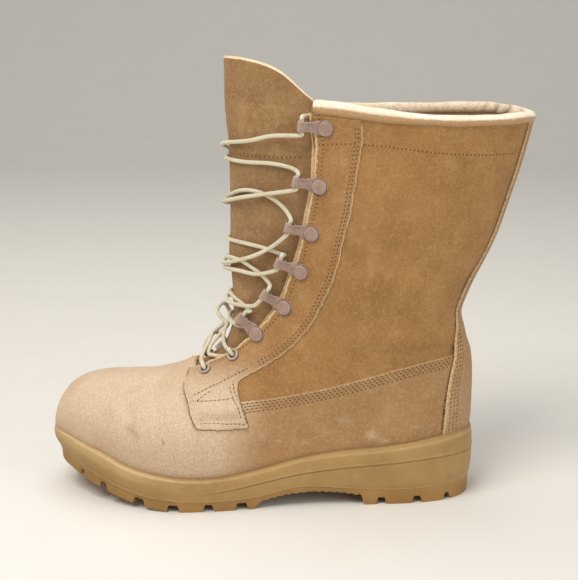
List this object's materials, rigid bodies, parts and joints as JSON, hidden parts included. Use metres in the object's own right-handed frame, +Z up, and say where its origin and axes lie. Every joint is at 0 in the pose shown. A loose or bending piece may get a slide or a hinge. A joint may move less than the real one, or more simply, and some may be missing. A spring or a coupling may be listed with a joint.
{
  "type": "lace-up combat boot",
  "caption": "Left suede lace-up boot that reaches the calf, with hollow shaft, padded collar, tongue, speed hooks and a lugged sole.",
  "frame": {"origin": "middle of the bounding box on the floor, under the arch", "axes": "+X to the toe, +Y to the outer (lateral) side of this left boot, +Z up; the sole stands on z = 0"},
  "size_m": [0.362, 0.1098, 0.329],
  "materials": {
    "suede": "matt roughout suede, tan",
    "tongue_suede": "matt suede, darker tan",
    "collar_leather": "soft napped leather, cream",
    "sole_compound": "matt moulded compound, tan",
    "tread_rubber": "matt rubber, tan",
    "insole_cloth": "woven cloth, brown",
    "painted_metal": "satin mauve-brown paint",
    "lace_cord": "round braided cord, pale yellow-beige"
  },
  "bodies": {
    "root": {"outsole": "tread_rubber", "midsole": "sole_compound", "insole": "insole_cloth", "upper": "suede", "eyestay_lateral": "suede", "eyestay_medial": "suede", "backstay": "suede", "collar": "collar_leather", "tongue": "tongue_suede", "hook_lateral_1": "painted_metal", "hook_lateral_2": "painted_metal", "hook_lateral_3": "painted_metal", "hook_lateral_4": "painted_metal", "hook_lateral_5": "painted_metal", "hook_lateral_6": "painted_metal", "hook_medial_1": "painted_metal", "hook_medial_2": "painted_metal", "hook_medial_3": "painted_metal", "hook_medial_4": "painted_metal", "hook_medial_5": "painted_metal", "hook_medial_6": "painted_metal", "eyelet_lateral_1": "painted_metal", "eyelet_lateral_2": "painted_metal", "eyelet_medial_1": "painted_metal", "eyelet_medial_2": "painted_metal", "lace": "lace_cord"}
  },
  "joints": []
}
